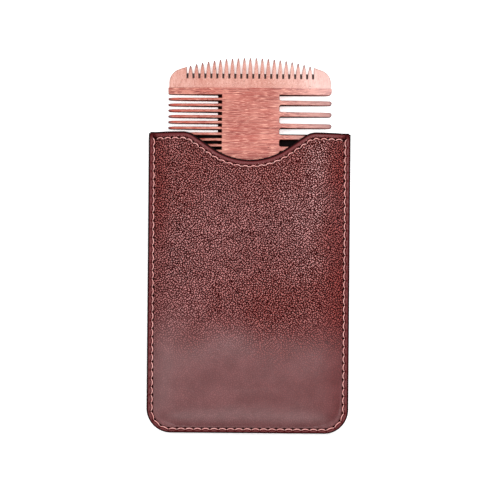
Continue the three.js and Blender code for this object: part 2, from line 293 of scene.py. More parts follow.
def lattice(low, high, step):
    """A triangular lattice over a rectangle."""
    rows = np.arange(low[1], high[1], step * math.sqrt(0.75))
    columns = np.arange(low[0], high[0], step)
    grid = []
    for j, y in enumerate(rows):
        grid.append(np.column_stack([columns + step / 2 * (j % 2), np.full(len(columns), y)]))
    return np.vstack(grid)


def filled(loop, inner):
    """Triangles over the inside of a loop that use its points, and then the inner points, by index."""
    points = [Vector(p) for p in np.vstack([loop, inner])]
    edges = [(i, (i + 1) % len(loop)) for i in range(len(loop))]
    _, _, faces, origins, _, _ = delaunay_2d_cdt(points, edges, [], 1, 1e-6)
    return [[origins[i][0] for i in face] for face in faces]


# ---------- sleeve form ----------


def shortfall(inward, sweep, power):
    return (1 - np.clip(inward / sweep, 0, 1)) ** power


def fullness(x, y, sweep, power):
    """0 along the pocket's edge and 1 where the skin has its full height."""
    across = shortfall(POCKET_HALF - np.abs(x), sweep, power)
    along = shortfall(y - POCKET_BOTTOM, sweep, power)
    return np.maximum(0, 1 - (across**FORM_ROUNDING + along**FORM_ROUNDING) ** (1 / FORM_ROUNDING))


def back_lift(x, y):
    return SEAM_LIFT * (1 - fullness(x, y, BACK_SWEEP, 3))


# the front sags a little into the empty pocket below the comb, and is never quite even: WAVES holds each
# wave's height, length, direction and phase, and the crown is lowered a little to make room for them
WAVE_ROOM = 0.12
SAG = 0.75
SAG_FROM = COMB_FOOT + 4
SAG_OVER = 26.0
WAVES = [(0.10, 31.0, 0.4, 0.3), (0.07, 19.0, 1.9, 2.1), (0.05, 12.5, 3.4, 4.0)]


def front_lift(x, y):
    full = fullness(x, y, POCKET_HALF, CROWN_POWER)
    sag = SAG * np.clip((SAG_FROM - y) / SAG_OVER, 0, 1) ** 2
    waves = sum(a * np.sin(math.tau / w * (x * math.cos(d) + y * math.sin(d)) + p) for a, w, d, p in WAVES)
    return SEAM_LIFT + (CROWN - sag - WAVE_ROOM + waves) * full


# ---------- sleeve outlines ----------


def notch(inset):
    """The notch in the front mouth, from left to right, set in from its edge."""
    angle = NOTCH_FLANK_ANGLE
    shoulder_y = SLEEVE_TOP - NOTCH_SHOULDER_R
    both = NOTCH_SHOULDER_R + NOTCH_FLOOR_R
    flank_run = NOTCH_HALF_WIDTH - both * math.sin(angle)
    floor_y = shoulder_y + both * math.cos(angle) - flank_run * math.tan(angle)
    shoulder_r = NOTCH_SHOULDER_R - inset
    return np.vstack([
        arc((-NOTCH_HALF_WIDTH, shoulder_y), shoulder_r, UP, UP - angle),
        arc((0, floor_y), NOTCH_FLOOR_R + inset, -UP - angle, -UP + angle),
        arc((NOTCH_HALF_WIDTH, shoulder_y), shoulder_r, UP + angle, UP),
    ])


def panel_outline(notched, step):
    """A panel's cut edge, anticlockwise from its top left corner, inside its coat of paint."""
    half = SLEEVE_HALF - EDGE_COAT
    top = SLEEVE_TOP - EDGE_COAT
    bottom = SLEEVE_BOTTOM + EDGE_COAT
    r = BOTTOM_CORNER_R - EDGE_COAT
    m = MOUTH_CORNER_R - EDGE_COAT
    parts = [
        arc((-half + m, top - m), m, UP, 2 * UP, 0.1),
        arc((-half + r, bottom + r), r, 2 * UP, 3 * UP),
        arc((half - r, bottom + r), r, 3 * UP, 4 * UP),
        arc((half - m, top - m), m, 0, UP, 0.1),
    ]
    if notched:
        parts.append(notch(EDGE_COAT)[::-1])
    return spaced(np.vstack(parts), step, closed=True)


def seam_route(step=0.25):
    """Down the left side, round the bottom and up the right side."""
    r = BOTTOM_CORNER_R - SIDE_INSET
    top = SLEEVE_TOP - MOUTH_INSET
    return spaced(np.vstack([
        [(-SEAM_X, top)],
        arc((-SEAM_X + r, SEAM_BOTTOM + r), r, 2 * UP, 3 * UP),
        arc((SEAM_X - r, SEAM_BOTTOM + r), r, 3 * UP, 4 * UP),
        [(SEAM_X, top)],
    ]), step)


def mouth_route(end_x, step=0.25):
    """Along the front mouth from left to right, short of the side seams."""
    top = SLEEVE_TOP - MOUTH_INSET
    return spaced(np.vstack([[(-end_x, top)], notch(MOUTH_INSET), [(end_x, top)]]), step)


class Row(Line):
    """A row of stitches: its route and its holes, an even pitch apart."""

    def __init__(self, route, pitch, swing):
        super().__init__(route)
        self.swing = swing
        self.count = round(self.runs[-1] / pitch)
        self.pitch = self.runs[-1] / self.count
        ahead = np.gradient(self.points, axis=0)
        self.ahead = ahead / np.hypot(*ahead.T)[:, None]

    def at(self, along):
        """Points along the row, and the direction to the left of it there."""
        place = [np.interp(along, self.runs, self.points[:, i]) for i in (0, 1)]
        tangent = [np.interp(along, self.runs, self.ahead[:, i]) for i in (0, 1)]
        return np.column_stack(place), np.column_stack([-tangent[1], tangent[0]])

    def marks(self, points):
        """How deep the row's groove and its holes are at each point, both from 0 to 1. They also darken the
        leather's colour as painted shade.
        """
        distance, along, side = self.nearest(points)
        across = distance * side
        to_hole = (along + self.pitch / 2) % self.pitch - self.pitch / 2
        swung = across + self.swing * (1 - np.abs(to_hole) / self.pitch * 2) ** SWING_POWER
        hole = (to_hole / HOLE_ALONG) ** 2 + ((across + self.swing * HOLE_SWING_SHARE) / HOLE_ACROSS) ** 2
        return np.exp(-((swung / GROOVE_WIDTH) ** 2)), np.exp(-(hole**1.5))

    def band(self, reach, step):
        """Points in even lines along both sides of the row."""
        along = np.linspace(0, self.runs[-1], round(self.runs[-1] / step) + 1)
        place, left = self.at(along)
        return np.vstack([place + left * off for off in np.arange(-reach, reach + step / 2, step)])


SEAM = Row(seam_route(), SEAM_PITCH, SEAM_SWING)
MOUTH = Row(mouth_route(POCKET_HALF), MOUTH_PITCH, MOUTH_SWING)

# ---------- meshes ----------


def mesh_object(name, points, faces, material, **marks):
    """A smooth-shaded mesh from points in millimetres, with a float attribute for each mark."""
    mesh = bpy.data.meshes.new(name)
    mesh.from_pydata((np.asarray(points) * MM).tolist(), [], faces)
    mesh.update()
    for mark, values in marks.items():
        layer = mesh.attributes.new(mark, "FLOAT", "POINT")
        layer.data.foreach_set("value", np.asarray(values, np.float32))
    mesh.materials.append(material)
    mesh.polygons.foreach_set("use_smooth", [True] * len(mesh.polygons))
    piece = bpy.data.objects.new(name, mesh)
    bpy.context.scene.collection.objects.link(piece)
    return piece


def declare(piece, body, slot, *nodes):
    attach(piece, body)
    if nodes:
        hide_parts(*nodes)


def walls(rings, count):
    """Quads between each ring of count points and the next one."""
    ring = np.arange(count)
    after = (ring + 1) % count
    faces = []
    for i in range(rings - 1):
        a, b = i * count, (i + 1) * count
        faces += np.column_stack([ring + a, ring + b, after + b, after + a]).tolist()
    return faces


def capped(rings, inner_top, inner_bottom, cap_faces_top, cap_faces_bottom):
    """A closed solid: rings from the top cap's edge to the bottom cap's, and both caps."""
    count = len(rings[0])
    points = np.vstack([*rings, inner_top, inner_bottom])
    faces = walls(len(rings), count)
    first_inner = len(rings) * count
    last_ring = (len(rings) - 1) * count

    def placed(face, ring_start, inner_start):
        return [i + ring_start if i < count else i - count + inner_start for i in face]

    faces += [placed(face, 0, first_inner) for face in cap_faces_top]
    bottom_start = first_inner + len(inner_top)
    faces += [placed(face, last_ring, bottom_start)[::-1] for face in cap_faces_bottom]
    return points, faces


def rounding(radius, steps):
    """(inset, drop) pairs that round an edge, from the face to the wall."""
    turns = np.linspace(0, UP, steps + 1)
    return [(radius * (1 - math.sin(t)), radius * (1 - math.cos(t))) for t in turns]


def skin(loop, inner, top, bottom, radius):
    """A closed sheet between two height functions of X and Y, with a rounded rim."""
    rings = []
    for inset, drop in rounding(radius, 4):
        ring = inset_loop(loop, inset)
        rings.append(np.column_stack([ring, top(ring) - drop]))
    for inset, drop in reversed(rounding(radius * UNDERSIDE_RIM_SHARE, 3)):
        ring = inset_loop(loop, inset)
        rings.append(np.column_stack([ring, bottom(ring) + drop]))
    top_faces = filled(rings[0][:, :2], inner)
    bottom_faces = filled(rings[-1][:, :2], inner)
    inner_top = np.column_stack([inner, top(inner)])
    inner_bottom = np.column_stack([inner, bottom(inner)])
    return capped(rings, inner_top, inner_bottom, top_faces, bottom_faces)


def leather_points(edge, rows, fine, coarse):
    """Points inside a panel's edge: fine ones beside its rows of stitches and coarse ones elsewhere."""
    low, high = edge.points.min(axis=0), edge.points.max(axis=0)
    rest = edge.well_inside(lattice(low, high, coarse), RIM_ROUNDING + 0.5 * coarse)
    bands = []
    for i, row in enumerate(rows):
        rest = rest[row.nearest(rest)[0] > ROW_REACH + 0.5 * coarse]
        band = edge.well_inside(row.band(ROW_REACH, fine), RIM_ROUNDING + fine)
        for other in rows[:i]:
            band = band[other.nearest(band)[0] > ROW_REACH + 0.6 * fine]
        bands.append(band)
    return np.vstack([rest, *bands])


def around_lines(lines):
    """At each point of one or more lines of 3-D points: a level unit vector across it, and one upward."""
    ahead = np.gradient(lines, axis=-2)
    ahead /= np.linalg.norm(ahead, axis=-1, keepdims=True)
    across = np.cross(ahead, (0.0, 0.0, 1.0))
    across /= np.linalg.norm(across, axis=-1, keepdims=True)
    return across, np.cross(across, ahead)


def tubes(lines, radius, sides):
    """A round tube with closed ends along each line of 3-D points; every line has as many points."""
    lines = np.asarray(lines)
    count = lines.shape[1]
    across, upward = around_lines(lines)
    points, faces = [], []
    turns = np.arange(sides) / sides * math.tau
    for line, a, u in zip(lines, across, upward):
        start = len(points) * count * sides
        around = (a[:, None] * np.cos(turns)[:, None] + u[:, None] * np.sin(turns)[:, None]) * radius
        points.append((line[:, None] + around).reshape(-1, 3))
        faces += (np.array(walls(count, sides)) + start).tolist()
        faces.append(list(range(start, start + sides)))
        faces.append(list(range(start + (count - 1) * sides, start + count * sides))[::-1])
    return np.vstack(points), faces


def stitches(row, height, over, swing_share):
    """Each stitch of a row as twisted plies; over is 1 on top of a surface and -1 under one."""
    t = np.linspace(0, 1, STITCH_STEPS + 1)
    ends = np.abs(2 * t - 1)
    lines = []
    for k in range(row.count):
        along = (k + t) * row.pitch
        place, left = row.at(along)
        place = place - left * (row.swing * swing_share * ends**SWING_POWER)[:, None]
        z = height(place) + over * (PLY_R + PLY_OFFSET * PLY_REST_SHARE - DIVE * ends**DIVE_POWER)
        centre = np.column_stack([place, z])
        across, upward = around_lines(centre)
        for ply in range(PLY_COUNT):
            turn = (along / PLY_LAY + ply / PLY_COUNT) * math.tau
            off = across * np.cos(turn)[:, None] + upward * np.sin(turn)[:, None]
            lines.append(centre + PLY_OFFSET * off)
    return tubes(lines, PLY_R, PLY_SIDES)


def swept(route, section, outward):
    """A closed section swept along a route. section(points) gives, for each route point, (out, z) pairs."""
    ahead = np.gradient(route, axis=0)
    ahead /= np.hypot(*ahead.T)[:, None]
    out = np.column_stack([ahead[:, 1], -ahead[:, 0]]) * outward
    shape = section(route)
    count = shape.shape[1]
    place = route[:, None, :] + out[:, None, :] * shape[..., :1]
    points = np.concatenate([place, shape[..., 1:]], axis=2).reshape(-1, 3)
    faces = walls(len(route), count)
    faces.append(list(range(count)))
    faces.append(list(range((len(route) - 1) * count, len(route) * count))[::-1])
    if outward < 0:
        faces = [face[::-1] for face in faces]
    return points, faces


# ---------- materials ----------


class Graph:
    """A material's nodes. Textures are laid out in millimetres of the piece's own space."""

    def __init__(self, name):
        self.material = bpy.data.materials.new(name)
        self.material.use_nodes = True
        self.nodes = self.material.node_tree.nodes
        self.links = self.material.node_tree.links
        self.shader = self.nodes["Principled BSDF"]
        self.place = self.nodes.new("ShaderNodeTexCoord").outputs["Object"]

    def node(self, kind, inputs, **settings):
        made = self.nodes.new(kind)
        for name, value in settings.items():
            setattr(made, name, value)
        for name, value in inputs.items():
            self.put(made.inputs[name], value)
        return made

    def put(self, socket, value):
        if isinstance(value, bpy.types.NodeSocket):
            self.links.new(value, socket)
        else:
            socket.default_value = value

    def stretched(self, sizes, start=None):
        """The place, scaled so that one unit is the given size in millimetres along each axis."""
        scale = [1 / (size * MM) for size in sizes]
        return self.node("ShaderNodeMapping", {"Vector": start or self.place, "Scale": scale}).outputs[0]

    def noise(self, sizes, detail=2.0, roughness=0.5):
        where = self.stretched(sizes)
        return self.node("ShaderNodeTexNoise", {
            "Vector": where, "Scale": 1.0, "Detail": detail, "Roughness": roughness,
        }).outputs["Fac"]

    def cells(self, sizes, feature, dimensions, start=None):
        inputs = {"Vector": self.stretched(sizes, start), "Scale": 1.0}
        made = self.node("ShaderNodeTexVoronoi", inputs, feature=feature, voronoi_dimensions=dimensions)
        return made.outputs["Distance"]

    def warped(self, size, amount):
        """The place, pushed about by noise."""
        inputs = {"Vector": self.stretched((size, size, size)), "Scale": 1.0, "Detail": 1.0}
        push = self.node("ShaderNodeTexNoise", inputs).outputs["Color"]
        centred = self.vector_math("SUBTRACT", {0: push, 1: (0.5, 0.5, 0.5)})
        scaled = self.vector_math("SCALE", {0: centred, "Scale": amount * MM})
        return self.vector_math("ADD", {0: self.place, 1: scaled})

    def vector_math(self, operation, inputs):
        return self.node("ShaderNodeVectorMath", inputs, operation=operation).outputs[0]

    def turned(self, degrees, start):
        """A place turned about Z."""
        inputs = {"Vector": start, "Angle": math.radians(degrees)}
        return self.node("ShaderNodeVectorRotate", inputs, rotation_type="Z_AXIS").outputs[0]

    def fade(self, value, low, high, to_low=0.0, to_high=1.0):
        """value from low to high, as a smooth step between two other values."""
        return self.node("ShaderNodeMapRange", {
            "Value": value, "From Min": low, "From Max": high, "To Min": to_low, "To Max": to_high,
        }, interpolation_type="SMOOTHSTEP").outputs[0]

    def math(self, operation, a, b):
        return self.node("ShaderNodeMath", {0: a, 1: b}, operation=operation).outputs[0]

    def mix(self, share, a, b):
        """Two colours mixed by a share."""
        return self.node("ShaderNodeMix", {0: share, 6: a, 7: b}, data_type="RGBA").outputs[2]

    def mark(self, name):
        return self.node("ShaderNodeAttribute", {}, attribute_name=name).outputs["Fac"]

    def bump(self, height, distance, strength=1.0, under=None):
        """A normal bumped by a height from 0 to 1 that stands for a distance in millimetres."""
        inputs = {"Height": height, "Distance": distance * MM, "Strength": strength}
        if under:
            inputs["Normal"] = under
        return self.node("ShaderNodeBump", inputs).outputs[0]

    def finish(self, **inputs):
        for name, value in inputs.items():
            self.put(self.shader.inputs[name.replace("_", " ")], value)
        return self.material


def rgb(red, green, blue):
    """A linear colour from display values of 0 to 255."""
    def linear(v):
        v /= 255
        return v / 12.92 if v <= 0.04045 else ((v + 0.055) / 1.055) ** 2.4
    return (linear(red), linear(green), linear(blue), 1.0)


def leather_material():
    """Corrected-grain leather: raised worms between deep creases, pressed flat and darker beside the cut
    edges, with painted shade on the mouth's rolled hem, and smoother towards the closed end, where a lighter
    flat colour is a painted sheen."""
    g = Graph("sleeve_leather")
    pushed = g.warped(2.1, 0.5)
    rising = g.cells((1.1, 0.62, 1), "DISTANCE_TO_EDGE", "2D", start=g.turned(45, pushed))
    falling = g.cells((1.1, 0.62, 1), "DISTANCE_TO_EDGE", "2D", start=g.turned(-45, pushed))
    worms = g.fade(g.noise((3.2, 3.2, 3.2), 1.0), 0.46, 0.54, falling, rising)
    raised = g.fade(worms, 0.13, 0.28)
    fine = g.noise((0.16, 0.16, 0.16), 2.0)
    tone = g.noise((7, 7, 7), 3.0, 0.6)
    patch = g.noise((34, 46, 34), 2.0)
    down = g.node("ShaderNodeSeparateXYZ", {0: g.stretched((1, 1, 1))}).outputs["Y"]
    down = g.math("ADD", down, g.math("MULTIPLY", g.math("SUBTRACT", patch, 0.5), 30.0))
    # painted sheen: towards the closed end the grain gives way to a lighter flat colour that stands in for
    # glare; the bump and roughness are smoother there too
    smooth = g.fade(down, -50.0, -18.0, 0.85, 0.0)
    smooth = g.math("MAXIMUM", smooth, g.math("MULTIPLY", g.mark("border"), 0.9))
    top = g.mix(g.fade(tone, 0.3, 0.7), rgb(158, 76, 74), rgb(178, 100, 98))
    top = g.mix(g.fade(patch, 0.4, 0.65), top, rgb(156, 62, 56))
    crease = g.mix(g.fade(tone, 0.3, 0.7), rgb(22, 0, 1), rgb(36, 0, 3))
    grain = g.mix(raised, crease, top)
    # the flat colour is lighter than the grain on average: a painted sheen
    flat = g.mix(g.fade(tone, 0.3, 0.7), rgb(98, 44, 46), rgb(110, 56, 58))
    colour = g.mix(smooth, grain, flat)
    # the pressed strip beside the cut edges turns darker red; part of that, most at the mouth's rolled hem,
    # is painted shade
    colour = g.mix(g.math("MULTIPLY", g.mark("border"), 0.85), colour, rgb(102, 30, 32))
    # painted shade: the thread's groove and the needle holes are darkened where shade falls beside the thread
    colour = g.mix(g.mark("groove"), colour, rgb(34, 2, 4))
    colour = g.mix(g.mark("hole"), colour, rgb(6, 0, 1))
    colour = g.mix(g.mark("painted"), colour, rgb(12, 2, 4))
    lit = g.math("MAXIMUM", raised, smooth)
    for dull in ("groove", "hole", "painted"):
        lit = g.math("MULTIPLY", lit, g.math("SUBTRACT", 1.0, g.mark(dull)))
    lit = g.math("SUBTRACT", lit, g.math("MULTIPLY", g.mark("border"), 0.4))
    height = g.math("MULTIPLY", g.math("SUBTRACT", 1.0, g.math("MULTIPLY", smooth, 0.9)), raised)
    normal = g.bump(fine, 0.012, 0.5, g.bump(height, 0.06, 1.0))
    return g.finish(Base_Color=colour, Roughness=g.fade(lit, 0.0, 1.0, 0.75, 0.36), Normal=normal,
                    Specular_IOR_Level=g.fade(lit, 0.0, 1.0, 0.0, 0.9))


def edge_paint_material():
    g = Graph("edge_paint")
    drift = g.noise((2.2, 2.2, 2.2), 3.0)
    colour = g.mix(g.fade(drift, 0.3, 0.7), rgb(10, 1, 3), rgb(22, 5, 8))
    fine = g.noise((0.35, 0.35, 0.35), 3.0)
    return g.finish(Base_Color=colour, Roughness=g.fade(drift, 0.2, 0.8, 0.42, 0.55),
                    Normal=g.bump(fine, 0.04, 0.5), Specular_IOR_Level=0.08)


def lining_material():
    g = Graph("sleeve_lining")
    wave = {"Vector": g.stretched((1, 1, 1)), "Scale": 0.9, "Distortion": 0.6}
    yarns = [g.node("ShaderNodeTexWave", wave, bands_direction=way).outputs["Fac"] for way in ("X", "Y")]
    weave = g.math("MULTIPLY", *yarns)
    colour = g.mix(weave, rgb(12, 4, 6), rgb(30, 16, 18))
    return g.finish(Base_Color=colour, Roughness=0.92, Normal=g.bump(weave, 0.08, 0.8),
                    Specular_IOR_Level=0.2)


def thread_material():
    g = Graph("thread")
    fuzz = g.noise((0.07, 0.07, 0.07), 2.0)
    drift = g.noise((1.2, 1.2, 1.2), 2.0)
    colour = g.mix(g.fade(drift, 0.3, 0.7), rgb(236, 158, 152), rgb(250, 188, 182))
    return g.finish(Base_Color=colour, Roughness=0.55, Normal=g.bump(fuzz, 0.02, 0.6), Sheen_Weight=0.3)


def wood_material(name, along_x, dark, mid, light, streak, painted_sheen, streak_length, contrast):
    """Wood with its grain along X or Y: broad bands, fine streaks, short flecks and dark pores. It is paler
    to the right, a painted sheen; ruddy in the left teeth; dark at the tips; and dark on its walls and eased
    edges, partly saw-cut end grain and partly painted shade."""
    g = Graph(name)

    def grain(length, width, detail=2.0, roughness=0.5):
        sizes = (length, width, width) if along_x else (width, length, width)
        return g.noise(sizes, detail, roughness)

    bands = grain(60, 3.4, 3.0, 0.6)
    streaks = grain(streak_length, 0.3, 2.0, 0.5)
    flecks = grain(streak_length / 4, 0.17, 2.0, 0.5)
    cloud = g.noise((16, 16, 16), 2.0)
    colour = g.mix(g.fade(bands, 0.32, 0.68), dark, mid)
    colour = g.mix(g.fade(cloud, 0.35, 0.7, 0.0, 0.5), colour, light)
    colour = g.mix(g.fade(streaks, 0.48, 0.64, 0.0, contrast), colour, streak)
    colour = g.mix(g.fade(flecks, 0.55, 0.64, 0.0, contrast), colour, light)
    across = g.node("ShaderNodeSeparateXYZ", {0: g.stretched((1, 1, 1))}).outputs["X"]
    # painted sheen: the wood turns paler towards the right, standing in for a glossy reflection there
    colour = g.mix(g.fade(across, 6.0, 42.0, 0.0, 0.5), colour, painted_sheen)
    ruddy = g.math("MULTIPLY", g.mark("ruddy"), g.fade(streaks, 0.35, 0.6, 0.4, 0.9))
    colour = g.mix(ruddy, colour, rgb(186, 62, 36))
    pore_size = (1.5, 0.5, 0.5) if along_x else (0.5, 1.5, 0.5)
    pores = g.cells(pore_size, "F1", "3D")
    kept = g.fade(g.noise((3.1, 2.3, 2.7), 1.0), 0.60, 0.70)
    pore = g.math("MULTIPLY", g.fade(pores, 0.14, 0.28, 1.0, 0.0), kept)
    colour = g.mix(pore, colour, rgb(70, 14, 12))
    colour = g.mix(g.math("MULTIPLY", g.mark("tip"), 0.85), colour, rgb(84, 24, 34))
    # painted shade: walls, eased edges and slot floors are darkened, partly for saw-cut end grain
    colour = g.mix(g.mark("sawn"), colour, rgb(40, 4, 4))
    height = g.math("ADD", g.math("MULTIPLY", streaks, 0.6), g.math("MULTIPLY", flecks, 0.5))
    height = g.math("SUBTRACT", height, pore)
    open_face = g.math("SUBTRACT", 1.0, g.mark("sawn"))
    return g.finish(Base_Color=colour, Roughness=g.fade(streaks, 0.3, 0.7, 0.42, 0.56),
                    Normal=g.bump(height, 0.06, 0.8), Coat_Weight=g.math("MULTIPLY", open_face, 0.2),
                    Coat_Roughness=0.35, Specular_IOR_Level=g.math("MULTIPLY", open_face, 0.5))


def floor_material():
    g = Graph("white_table")
    grain = g.noise((3, 3, 3), 2.0)
    return g.finish(Base_Color=g.mix(grain, rgb(246, 246, 246), rgb(250, 250, 250)), Roughness=0.9,
                    Specular_IOR_Level=0.1, Emission_Color=(1, 1, 1, 1), Emission_Strength=0.5)


# ---------- sleeve ----------


def border_of(points, edge):
    """The strip between a cut edge and its stitches, strongest at the mouth and 0 before the stitches.
    It is pressed flat and darker, and its extra darkness at the mouth is painted shade on the rolled hem.
    """
    strength = np.where(points[:, 1] > SLEEVE_TOP - NOTCH_FLOOR_R, 1, SIDE_BORDER_SHADE)
    return strength * np.clip((BOTTOM_INSET - edge.nearest(points[:, :2])[0]) / BORDER_FADE, 0, 1)


def painted(points, edge):
    """1 where the edge paint laps over a cut edge, falling to 0 on the leather's face."""
    return np.clip((PAINT_LAP - edge.nearest(points[:, :2])[0]) / PAINT_FADE, 0, 1)


def beside_thread(points, rows, on_face):
    """The rows' groove and hole marks, on one face of a panel; they darken the colour there as painted shade.
    """
    marks = np.max([row.marks(points[:, :2]) for row in rows], axis=0) * on_face
    return {"groove": marks[0] * GROOVE_SHADE, "hole": marks[1]}


def front_panel(leather):
    edge = Line(panel_outline(True, 0.3), closed=True)
    mouth_edge = Line(mouth_edge_route())

    def top(points):
        groove, hole = np.max([SEAM.marks(points), MOUTH.marks(points)], axis=0)
        side_roll = ROLL_DROP * shortfall(edge.nearest(points)[0], ROLL_WIDTH, 2)
        mouth_roll = MOUTH_ROLL_DROP * shortfall(mouth_edge.nearest(points)[0], MOUTH_ROLL_WIDTH, 2)
        sunk = np.maximum(side_roll, mouth_roll) + GROOVE_DEPTH * groove + HOLE_DEPTH * hole
        return front_lift(*points.T) + STACK - sunk

    def bottom(points):
        return front_lift(*points.T) + FRONT_PANEL_Z

    inner = leather_points(edge, (SEAM, MOUTH), **FRONT_STEPS)
    points, faces = skin(edge.points, inner, top, bottom, RIM_ROUNDING)
    on_top = points[:, 2] > bottom(points[:, :2]) + FACE_MARGIN
    piece = mesh_object("front_leather", points, faces, leather, border=border_of(points, edge),
                        painted=painted(points, edge), **beside_thread(points, (SEAM, MOUTH), on_top))
    declare(piece, "sleeve", "sleeve_leather", "front_panel")


def back_panel(leather):
    edge = Line(panel_outline(False, 0.5), closed=True)

    def top(points):
        return back_lift(*points.T) + LEATHER

    def bottom(points):
        groove, hole = SEAM.marks(points)
        roll = ROLL_DROP * shortfall(edge.nearest(points)[0], ROLL_WIDTH, 2)
        sunk = (roll + GROOVE_DEPTH * groove + HOLE_DEPTH * hole) * (1 - fullness(*points.T, BACK_SWEEP, 3))
        return back_lift(*points.T) + sunk

    inner = leather_points(edge, (SEAM,), **BACK_STEPS)
    points, faces = skin(edge.points, inner, top, bottom, RIM_ROUNDING)
    under = points[:, 2] < top(points[:, :2]) - FACE_MARGIN
    piece = mesh_object("back_leather", points, faces, leather, border=border_of(points, edge),
                        painted=painted(points, edge), **beside_thread(points, (SEAM,), under))
    declare(piece, "sleeve", "sleeve_leather", "back_panel")


def lining(name, node, notched, lift, under, material):
    edge = Line(panel_outline(notched, 0.6), closed=True)
    everywhere = lattice(edge.points.min(axis=0), edge.points.max(axis=0), LINING_STEP)
    inner = edge.well_inside(everywhere, LINING_MARGIN)

    def top(points):
        return lift(*points.T) + under + LINING

    def bottom(points):
        return lift(*points.T) + under

    mesh = skin(edge.points, inner, top, bottom, LINING_RIM_ROUNDING)
    declare(mesh_object(name, *mesh, material), "sleeve", "sleeve_lining", node)


def side_edge_route(step=0.4):
    """The sleeve's cut edge down the left side, round the bottom and up the right side."""
    half = SLEEVE_HALF - EDGE_COAT
    bottom = SLEEVE_BOTTOM + EDGE_COAT
    r = BOTTOM_CORNER_R - EDGE_COAT
    top = SLEEVE_TOP - SIDE_COAT_SHORT
    return spaced(np.vstack([
        [(-half, top)],
        arc((-half + r, bottom + r), r, 2 * UP, 3 * UP),
        arc((half - r, bottom + r), r, 3 * UP, 4 * UP),
        [(half, top)],
    ]), step)


def mouth_edge_route(step=0.4):
    """The front mouth's cut edge from left to right."""
    half = SLEEVE_HALF - EDGE_COAT - MOUTH_COAT_SHORT
    top = SLEEVE_TOP - EDGE_COAT
    return spaced(np.vstack([[(-half, top)], notch(EDGE_COAT), [(half, top)]]), step)


def bead(low, high, steps=10):
    """A D-shaped section between two heights: its flat side laps in over the edge it coats."""
    turns = np.linspace(-UP, UP, steps + 1)
    out = (EDGE_COAT + COAT_LAP) * np.cos(turns) - COAT_LAP
    z = (low + high)[:, None] / 2 + (high - low)[:, None] / 2 * np.sin(turns)
    return np.stack([np.broadcast_to(out, z.shape), z], axis=2)


def edge_coats(paint):
    side = side_edge_route()

    def side_section(route):
        low = back_lift(*route.T) + ROLL_DROP - SIDE_COAT_PROUD
        high = front_lift(*route.T) + STACK - ROLL_DROP + SIDE_COAT_PROUD
        return bead(low, high)

    points, faces = swept(side, side_section, 1)
    declare(mesh_object("side_edge_paint", points, faces, paint), "sleeve", "sleeve_leather")

    mouth = mouth_edge_route()

    def mouth_section(route):
        low = front_lift(*route.T) + FRONT_LINING_Z
        high = front_lift(*route.T) + STACK - MOUTH_ROLL_DROP + MOUTH_COAT_PROUD
        return bead(low, high)

    points, faces = swept(mouth, mouth_section, -1)
    declare(mesh_object("mouth_edge_paint", points, faces, paint), "sleeve", "sleeve_leather")


def threads(yarn):
    def on_front(points):
        return front_lift(*points.T) + STACK - GROOVE_DEPTH

    def under_back(points):
        return back_lift(*points.T) + GROOVE_DEPTH

    def under_lining(points):
        return front_lift(*points.T) + FRONT_LINING_Z

    under_mouth = Row(mouth_route(POCKET_HALF - SEAM_BITE), MOUTH_PITCH, MOUTH_SWING)
    for name, row, height, over in (
        ("seam_thread", SEAM, on_front, 1),
        ("mouth_thread", MOUTH, on_front, 1),
        ("seam_bobbin_thread", SEAM, under_back, -1),
        ("mouth_bobbin_thread", under_mouth, under_lining, -1),
    ):
        points, faces = stitches(row, height, over, 1.0 if over > 0 else BOBBIN_SWING_SHARE)
        piece = mesh_object(name + "_stitches", points, faces, yarn)
        declare(piece, "sleeve", "thread", name)


# ---------- comb ----------


def cross_profile(x):
    """Half the blank's thickness: full along its column, thinning evenly to both sides."""
    right = (x - COLUMN_RIGHT) / (COMB_HALF - COLUMN_RIGHT)
    left = (COLUMN_LEFT - x) / (COMB_HALF + COLUMN_LEFT)
    out = np.clip(np.maximum(left, right), 0, 1)
    return (COMB_THICKNESS - (COMB_THICKNESS - TIP_THICKNESS) * out) / 2


def end_profile(x, y):
    """Half the thickness of an end piece, whose bevel thins it towards its peak at y = 0."""
    bevel = TIP_THICKNESS / 2 + (COMB_THICKNESS - TIP_THICKNESS) / 2 * np.clip(-y / END_LENGTH, 0, 1)
    return np.minimum(cross_profile(x), bevel)


def arch_drop(x):
    return math.sqrt(ARCH_R**2 - x**2) - ARCH_R


def tooth(centre, width, root, start, tip, teeth):
    """One tooth as (along the edge, outwards) points, from its filleted root round its tip and back to its
    root. It narrows from start to its round tip."""
    narrowing = width / 2 - teeth["tip_r"]
    slope = math.atan(teeth["fullness"] * narrowing / (tip - start - teeth["tip_r"]))
    cap_r = teeth["tip_r"] / math.cos(slope)
    shoulder = tip - cap_r * (1 - math.sin(slope))
    r = teeth["root_r"]
    t = np.linspace(max(0, (root + r - start) / (shoulder - start)), 1, 8)
    half = width / 2 - narrowing * t ** teeth["fullness"]
    fillet = arc((half[0] + r, root + r), r, -UP, -2 * UP, 0.2)
    flank = np.column_stack([half, start + (shoulder - start) * t])[1:]
    cap = arc((0, tip - cap_r), cap_r, slope, UP, 0.12)
    side = np.vstack([fillet, flank, cap[1:-1]])
    return np.vstack([side, [(0, tip)], side[::-1] * (-1, 1)]) + (centre, 0)


def side_row(teeth, side):
    """A side row of teeth going up the comb, as one front and one back line of (x, y) points."""
    count = teeth["count"]
    pitch = (COMB_LENGTH - 2 * teeth["first_at"]) / (count - 1)
    width = pitch - teeth["slot"]
    first = teeth["first_at"] - COMB_LENGTH / 2
    end = COMB_LENGTH / 2 - SIDE_FIRST_SLOT
    root = COLUMN_RIGHT if side > 0 else -COLUMN_LEFT
    r = teeth["block_r"]
    lines = []
    for reach in (root, root + teeth["run_out"]):
        points = [arc((-end - r, COMB_HALF - r), r, UP, 0, 0.15), [(-end, reach)]]
        for i in range(count):
            one = tooth(first + i * pitch, width, reach, COMB_HALF - teeth["point"], COMB_HALF, teeth)
            points.append(one[::-1])
        points += [[(end, reach)], arc((end + r, COMB_HALF - r), r, 2 * UP, UP, 0.15)]
        line = np.vstack(points)
        lines.append(np.column_stack([line[:, 1] * side, line[:, 0]]))
    return lines


